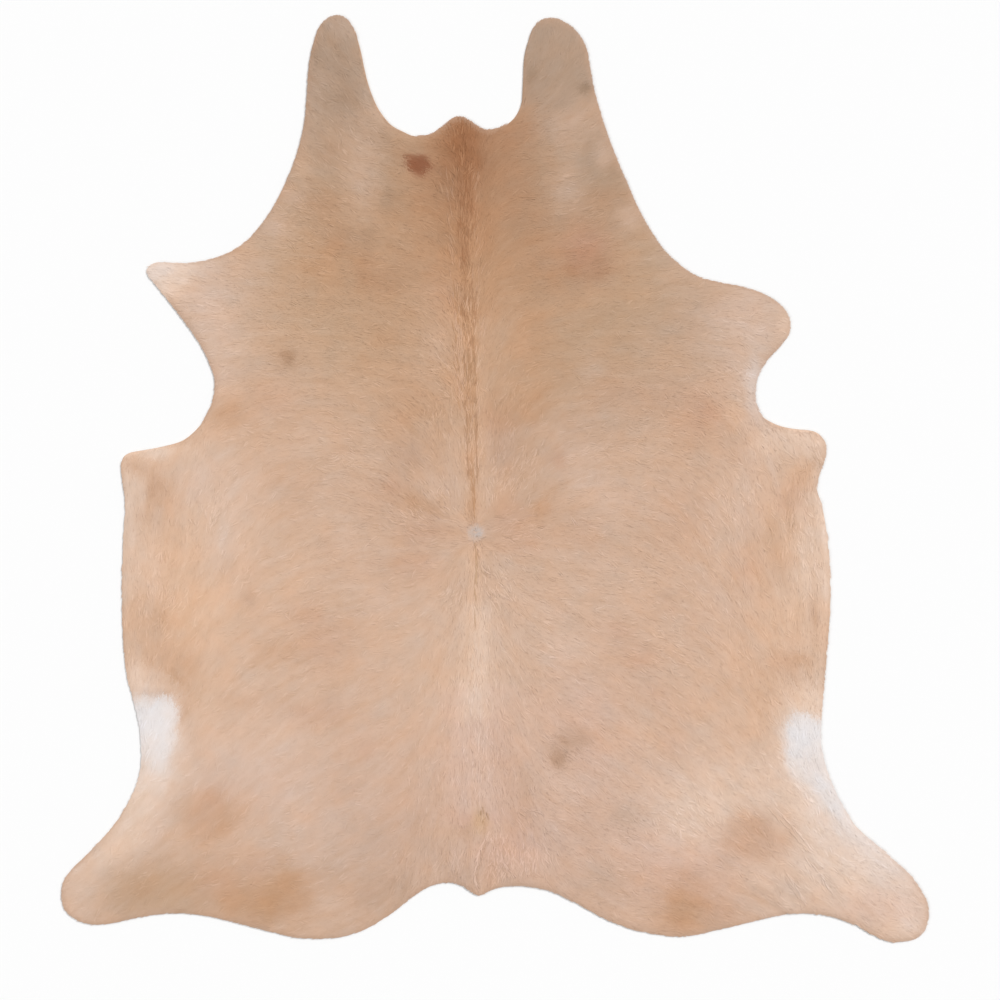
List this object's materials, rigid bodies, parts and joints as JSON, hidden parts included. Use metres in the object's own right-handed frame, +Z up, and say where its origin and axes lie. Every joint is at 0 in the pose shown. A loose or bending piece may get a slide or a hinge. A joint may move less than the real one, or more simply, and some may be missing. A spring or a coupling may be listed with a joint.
{
  "type": "cowhide rug",
  "caption": "Whole hair-on cowhide floor rug in pale tan, with a darker backbone line and white flank patches, lying flat on its flesh side.",
  "frame": {"origin": "on the floor, under the middle of the hide's outline", "axes": "+X to the right flank, +Y along the backbone to the neck, +Z up out of the coat"},
  "size_m": [2.083, 2.2258, 0.0087],
  "materials": {
    "hide": "short lying cattle hair, pale tan, soft dry sheen"
  },
  "bodies": {
    "root": {"hide": "hide"}
  },
  "joints": []
}
